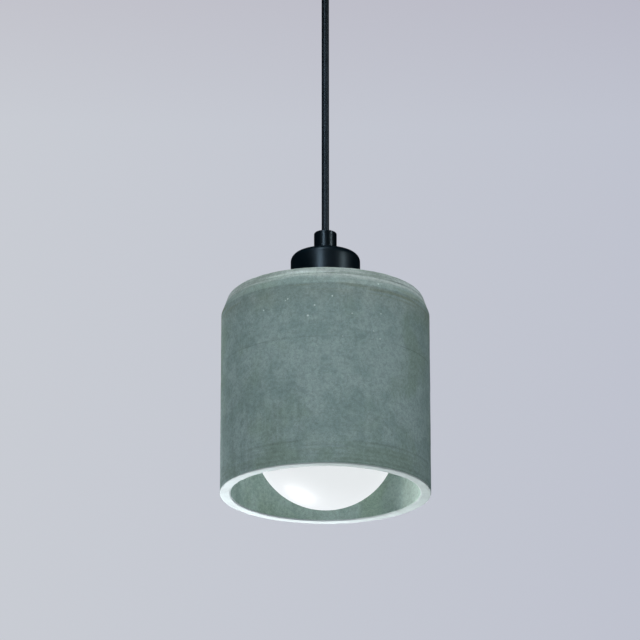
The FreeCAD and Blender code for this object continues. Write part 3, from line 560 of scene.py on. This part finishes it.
def lathe(name, points, segments, material, offset=None, sharp=34):
    """A closed outline turned about Z.

    offset(place, angle) says how far a point moves outwards. An edge sharper than sharp
    degrees shows as one."""
    grid = bmesh.new()
    count = len(points)
    rows = []
    for i, point in enumerate(points):
        along = points[(i + 1) % count] - points[i - 1]
        outward = Vector((along.y, -along.x)).normalized() if along.length else Vector((1, 0))
        row = []
        for j in range(segments if point.x > ON_AXIS else 1):
            angle = 2 * math.pi * j / segments
            x, y = math.cos(angle), math.sin(angle)
            place = Vector((point.x * x, point.x * y, point.y))
            if offset:
                move = offset(place, angle)
                place += Vector((outward.x * x, outward.x * y, outward.y)) * move
            row.append(grid.verts.new(place))
        rows.append(row)
    for i in range(count):
        a, b = rows[i], rows[(i + 1) % count]
        for j in range(segments):
            k = (j + 1) % segments
            around = [a[j % len(a)], a[k % len(a)], b[k % len(b)], b[j % len(b)]]
            corners = list(dict.fromkeys(around))
            if len(corners) > 2:
                grid.faces.new(corners)
    bmesh.ops.recalc_face_normals(grid, faces=grid.faces)
    mesh = bpy.data.meshes.new(name)
    grid.to_mesh(mesh)
    grid.free()
    mesh.shade_smooth()
    mesh.set_sharp_from_angle(angle=math.radians(sharp))
    mesh.materials.append(material)
    piece = bpy.data.objects.new(name, mesh)
    bpy.context.scene.collection.objects.link(piece)
    return piece


def stands_for(piece, node):
    """The piece replaces a CAD node, on that node's body."""
    for body, members in frame["record"]["behaviour"]["bodies"].items():
        if node in members:
            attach(piece, body)
    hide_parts(node)


# ---- Pieces ----
def make_cord(materials):
    """The taut cord, straight between its two pivots, with a round end at each."""
    low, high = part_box("pendant_cord")
    radius = high.x
    top, bottom = high.z - radius, low.z + radius
    # Its ends run straight for six diameters.
    route = [(0, 0, -0.0408), (0, 0, -0.0714), (0, 0, -0.1902), (0, 0, -0.2208)]
    data = bpy.data.curves.new("cord_sheath", "CURVE")
    data.dimensions = "3D"
    data.bevel_depth = radius
    data.bevel_resolution = 10
    data.resolution_u = 10
    data.use_fill_caps = True
    spline = data.splines.new("NURBS")
    spline.points.add(len(route) - 1)
    for point, place in zip(spline.points, route):
        point.co = (*place, 1)
    spline.order_u = 3
    spline.use_endpoint_u = True
    data.materials.append(materials["cord_sheath"])
    cord = bpy.data.objects.new("cord_sheath", data)
    bpy.context.scene.collection.objects.link(cord)
    arc_steps, segments = 8, 32
    for name, height, way in (("cord_end_top", top, 1), ("cord_end_bottom", bottom, -1)):
        outline = [Vector((radius * math.cos(a), height + way * radius * math.sin(a)))
                   for a in (k * math.pi / 2 / arc_steps for k in range(arc_steps))]
        foot = height - way * radius / 2
        outline += [Vector((0, height + way * radius)), Vector((0, foot)),
                    Vector((radius * 0.9, foot))]
        end = lathe(name, outline, segments, materials["cord_sheath"])
        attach(end, "cord")
    stands_for(cord, "pendant_cord")


def make_shade(materials):
    """The cast shade, with the small unevenness, form line and chipped edges of concrete."""
    wall, top, hole = 7.2 * MM, 12 * MM, 20.3 * MM
    taper_in, taper_down = 4.6 * MM, 12.6 * MM
    bevel, corner_draft = 0.9 * MM, 1.2 * MM
    high = shade_high.z
    cavity = high - top
    inner = shade_radius - wall
    shoulder = shade_radius - taper_in
    corners = [
        (inner + bevel, rim, 0.25 * MM),
        (shade_radius, rim, 0.55 * MM),
        (shade_radius, high - taper_down, 1.6 * MM),
        (shoulder, high, 3.0 * MM),
        (hole, high, 0.5 * MM),
        (hole, cavity, 0.5 * MM),
        (inner - corner_draft, cavity, 7.8 * MM),
        (inner, rim + bevel, 0.25 * MM),
    ]
    groove_level, groove_half, groove_depth = rim + 86.9 * MM, 0.7 * MM, 0.10 * MM
    edges = [(shade_radius, rim), (inner + bevel, rim), (shoulder, high)]
    chip_reach, chip_depth, chip_scale, chip_over = 1.6 * MM, 1.1 * MM, 190, 0.18
    swell, swell_scale, ripple, ripple_scale = 0.10 * MM, 60, 0.05 * MM, 260
    segments, longest, longest_inside = 336, 0.95 * MM, 2.2 * MM
    outer_wall = inner + 2.0 * MM

    def offset(place, _angle):
        move = swell * noise.fractal(place * swell_scale, 1.0, 2.0, 4)
        move += ripple * noise.noise(place * ripple_scale)
        radius = math.hypot(place.x, place.y)
        fade = abs(place.z - groove_level) / groove_half
        if fade < 1 and radius > outer_wall:
            move -= groove_depth * (1 - fade) * max(0.0, 0.6 + noise.noise(place * 25))
        for edge_radius, level in edges:
            gap = math.hypot(radius - edge_radius, place.z - level)
            if gap < chip_reach:
                chip = max(0.0, noise.noise(place * chip_scale) - chip_over) * chip_depth
                move -= chip * (1 - gap / chip_reach)
        return move

    points = divided(rounded(corners, 5), longest, outer_wall, longest_inside)
    shade = lathe("shade", points, segments, materials["concrete"], offset, sharp=60)
    stands_for(shade, "concrete_shade")


def make_cup(materials):
    """The spun cup over the lampholder, its lower edge eased and its hole turned in."""
    wall, corner, hole = 1.2 * MM, 5.4 * MM, 5.15 * MM
    ease, hole_ease = 0.35 * MM, 0.25 * MM
    radius, high, low = cup_high.x, cup_high.z, cup_low.z
    corners = [
        (radius, low, ease), (radius, high, corner), (hole, high, hole_ease),
        (hole, high - wall, hole_ease), (radius - wall, high - wall, corner - wall),
        (radius - wall, low, ease),
    ]
    segments, longest, corner_steps = 128, 3 * MM, 12
    points = divided(rounded(corners, corner_steps), longest)
    cup = lathe("cup_spun", points, segments, materials["black_metal"])
    stands_for(cup, "cup")


def make_globe(materials):
    """The opal globe: a thin shell down to its neck in the collar."""
    wall, neck, ease = 1.2 * MM, 17.6 * MM, 0.3 * MM
    waviness, wave_scale = 0.04 * MM, 25
    radius, top = globe_high.x, globe_high.z
    centre = globe_low.z + radius
    steps, segments = 72, 128

    def arc(size, neck_radius):
        """The half outline of a sphere, from its lowest point to where the neck meets it."""
        last = math.acos(neck_radius / size)
        angles = [-math.pi / 2 + (last + math.pi / 2) * k / steps for k in range(steps + 1)]
        points = [Vector((size * math.cos(a), centre + size * math.sin(a))) for a in angles]
        points[0].x = 0.0
        return points

    outline = arc(radius, neck)
    outline += [Vector((neck, top - ease)), Vector((neck - ease, top)),
                Vector((neck - wall + ease, top)), Vector((neck - wall, top - ease))]
    outline += reversed(arc(radius - wall, neck - wall))

    def offset(place, _angle):
        return waviness * noise.noise(place * wave_scale)

    globe = lathe("globe", outline, segments, materials["opal_glass"], offset)
    stands_for(globe, "bulb_globe")


def threaded(name, outline, low, high, wave, middle, material):
    """A thin shell whose thread, between two heights, is one right-handed helix round it.

    wave is the thread's depth, and the shell's faces lie on both sides of the middle radius."""
    pitch = 25.4 / 7 * MM           # seven turns to the inch
    segments, longest = 96, 0.3 * MM

    def offset(place, angle):
        fade = min(1.0, max(0.0, (high - place.z) / pitch), max(0.0, (place.z - low) / pitch))
        turn = 2 * math.pi * (place.z - high) / pitch - angle
        way = 1 if math.hypot(place.x, place.y) > middle else -1
        return wave / 2 * math.cos(turn) * fade * way

    points = divided([Vector(point) for point in outline], longest)
    return lathe(name, points, segments, material, offset)


def make_threads(materials):
    """The bulb's screw shell and the lampholder's, each with its rolled helical thread."""
    wall = 0.4 * MM
    cap_depth, holder_depth = 1.0 * MM, 0.45 * MM
    outer, mouth = 12.7 * MM, 9.4 * MM
    shoulder, run_out = cap_high.z - 3.2 * MM, collar_high.z + 2.5 * MM
    outline = [
        (outer, collar_high.z), (outer, shoulder), (mouth, cap_high.z),
        (mouth - wall, cap_high.z), (mouth - wall, cap_high.z - wall),
        (outer - wall, shoulder), (outer - wall, collar_high.z)]
    cap = threaded("cap_thread", outline, run_out, shoulder, cap_depth, outer - wall / 2,
                   materials["nickel_shell"])
    stands_for(cap, "bulb_screw_shell")

    middle, lip = 13.925 * MM, 9.0 * MM
    outer, inner = middle + wall / 2, middle - wall / 2
    high, low = shell_high.z, shell_low.z
    outline = [(outer, low), (outer, high), (lip, high), (lip, high - wall),
               (inner, high - wall), (inner, low)]
    shell = threaded("holder_thread", outline, low, high - 1.2 * MM, holder_depth, middle,
                     materials["brass"])
    stands_for(shell, "holder_screw_shell")


def make_collar(materials):
    """The bulb's white collar: a flared shell with a seat for the globe's neck."""
    wall, seat, neck = 1.5 * MM, 17.65 * MM, 4.05 * MM
    top_radius, low_radius, ease = 13.9 * MM, 19.15 * MM, 0.3 * MM
    bulge = 0.36         # how far out the flare's middle lies, from its top to its foot
    steps, segments, longest = 24, 96, 1.5 * MM
    low, high = collar_low.z, collar_high.z
    socket = low + neck
    flare_low = socket + wall

    def flare(inset):
        """The flare's curve from its foot to its top, that far inside the outer face."""
        start, end = Vector((low_radius - inset, flare_low)), Vector((top_radius - inset, high))
        through = Vector((end.x + (start.x - end.x) * bulge, (flare_low + high) / 2))
        pull = through * 2 - (start + end) / 2
        return [start.lerp(pull, t).lerp(pull.lerp(end, t), t)
                for t in (k / steps for k in range(steps + 1))]

    points = [Vector((low_radius - ease, low)), Vector((low_radius, low + ease))]
    points += flare(0)
    points += reversed(flare(2 * wall))
    points += [Vector((low_radius - 2 * wall, socket)), Vector((seat, socket)),
               Vector((seat, low))]
    collar = lathe("collar", divided(points, longest), segments, materials["white_collar"])
    stands_for(collar, "bulb_collar")


def dress_frame(materials):
    """Gives every CAD node that still shows the material of its slot."""
    slots = {
        "zinc_steel": ["ceiling_bracket", "ceiling_lock_washer", "lamp_lock_washer",
                       "ceiling_nut", "lamp_nut", "block_screw", "ceiling_nipple", "lamp_nipple",
                       "terminal_screws", "holder_dome_screw", "holder_terminal_screws"],
        "black_metal": ["canopy", "ceiling_cord_grip", "lamp_cord_grip"],
        "black_screws": ["canopy_screws", "ceiling_grip_screw", "lamp_grip_screw"],
        "black_moulding": ["holder_dome", "holder_sleeve", "shade_ring"],
        "black_rubber": ["cup_gasket", "ring_gasket"],
        "porcelain": ["holder_insert"],
        "white_moulding": ["terminal_block"],
        "brass": ["terminal_barrels", "holder_centre_contact", "holder_terminals"],
        "cord_sheath": ["ceiling_cord_tail", "lamp_cord_tail"],
        "brown_core": ["ceiling_core_brown", "lamp_core_brown"],
        "blue_core": ["ceiling_core_blue", "lamp_core_blue"],
        "solder": ["bulb_contact_tip"],
        "black_glass": ["bulb_insulator"],
        "board_aluminium": ["led_board"],
        "led_phosphor": ["led_chips"],
        "green_board": ["driver_board"],
        "driver_parts": ["driver_components"],
    }
    for slot, nodes in slots.items():
        for node in nodes:
            for place in frame["nodes"][node].material_slots:
                place.material = materials[slot]


make_camera()
materials = make_materials()
make_cord(materials)
make_world()
make_lights()
make_floor()
make_shade(materials)
make_cup(materials)
make_globe(materials)
make_threads(materials)
make_collar(materials)
dress_frame(materials)
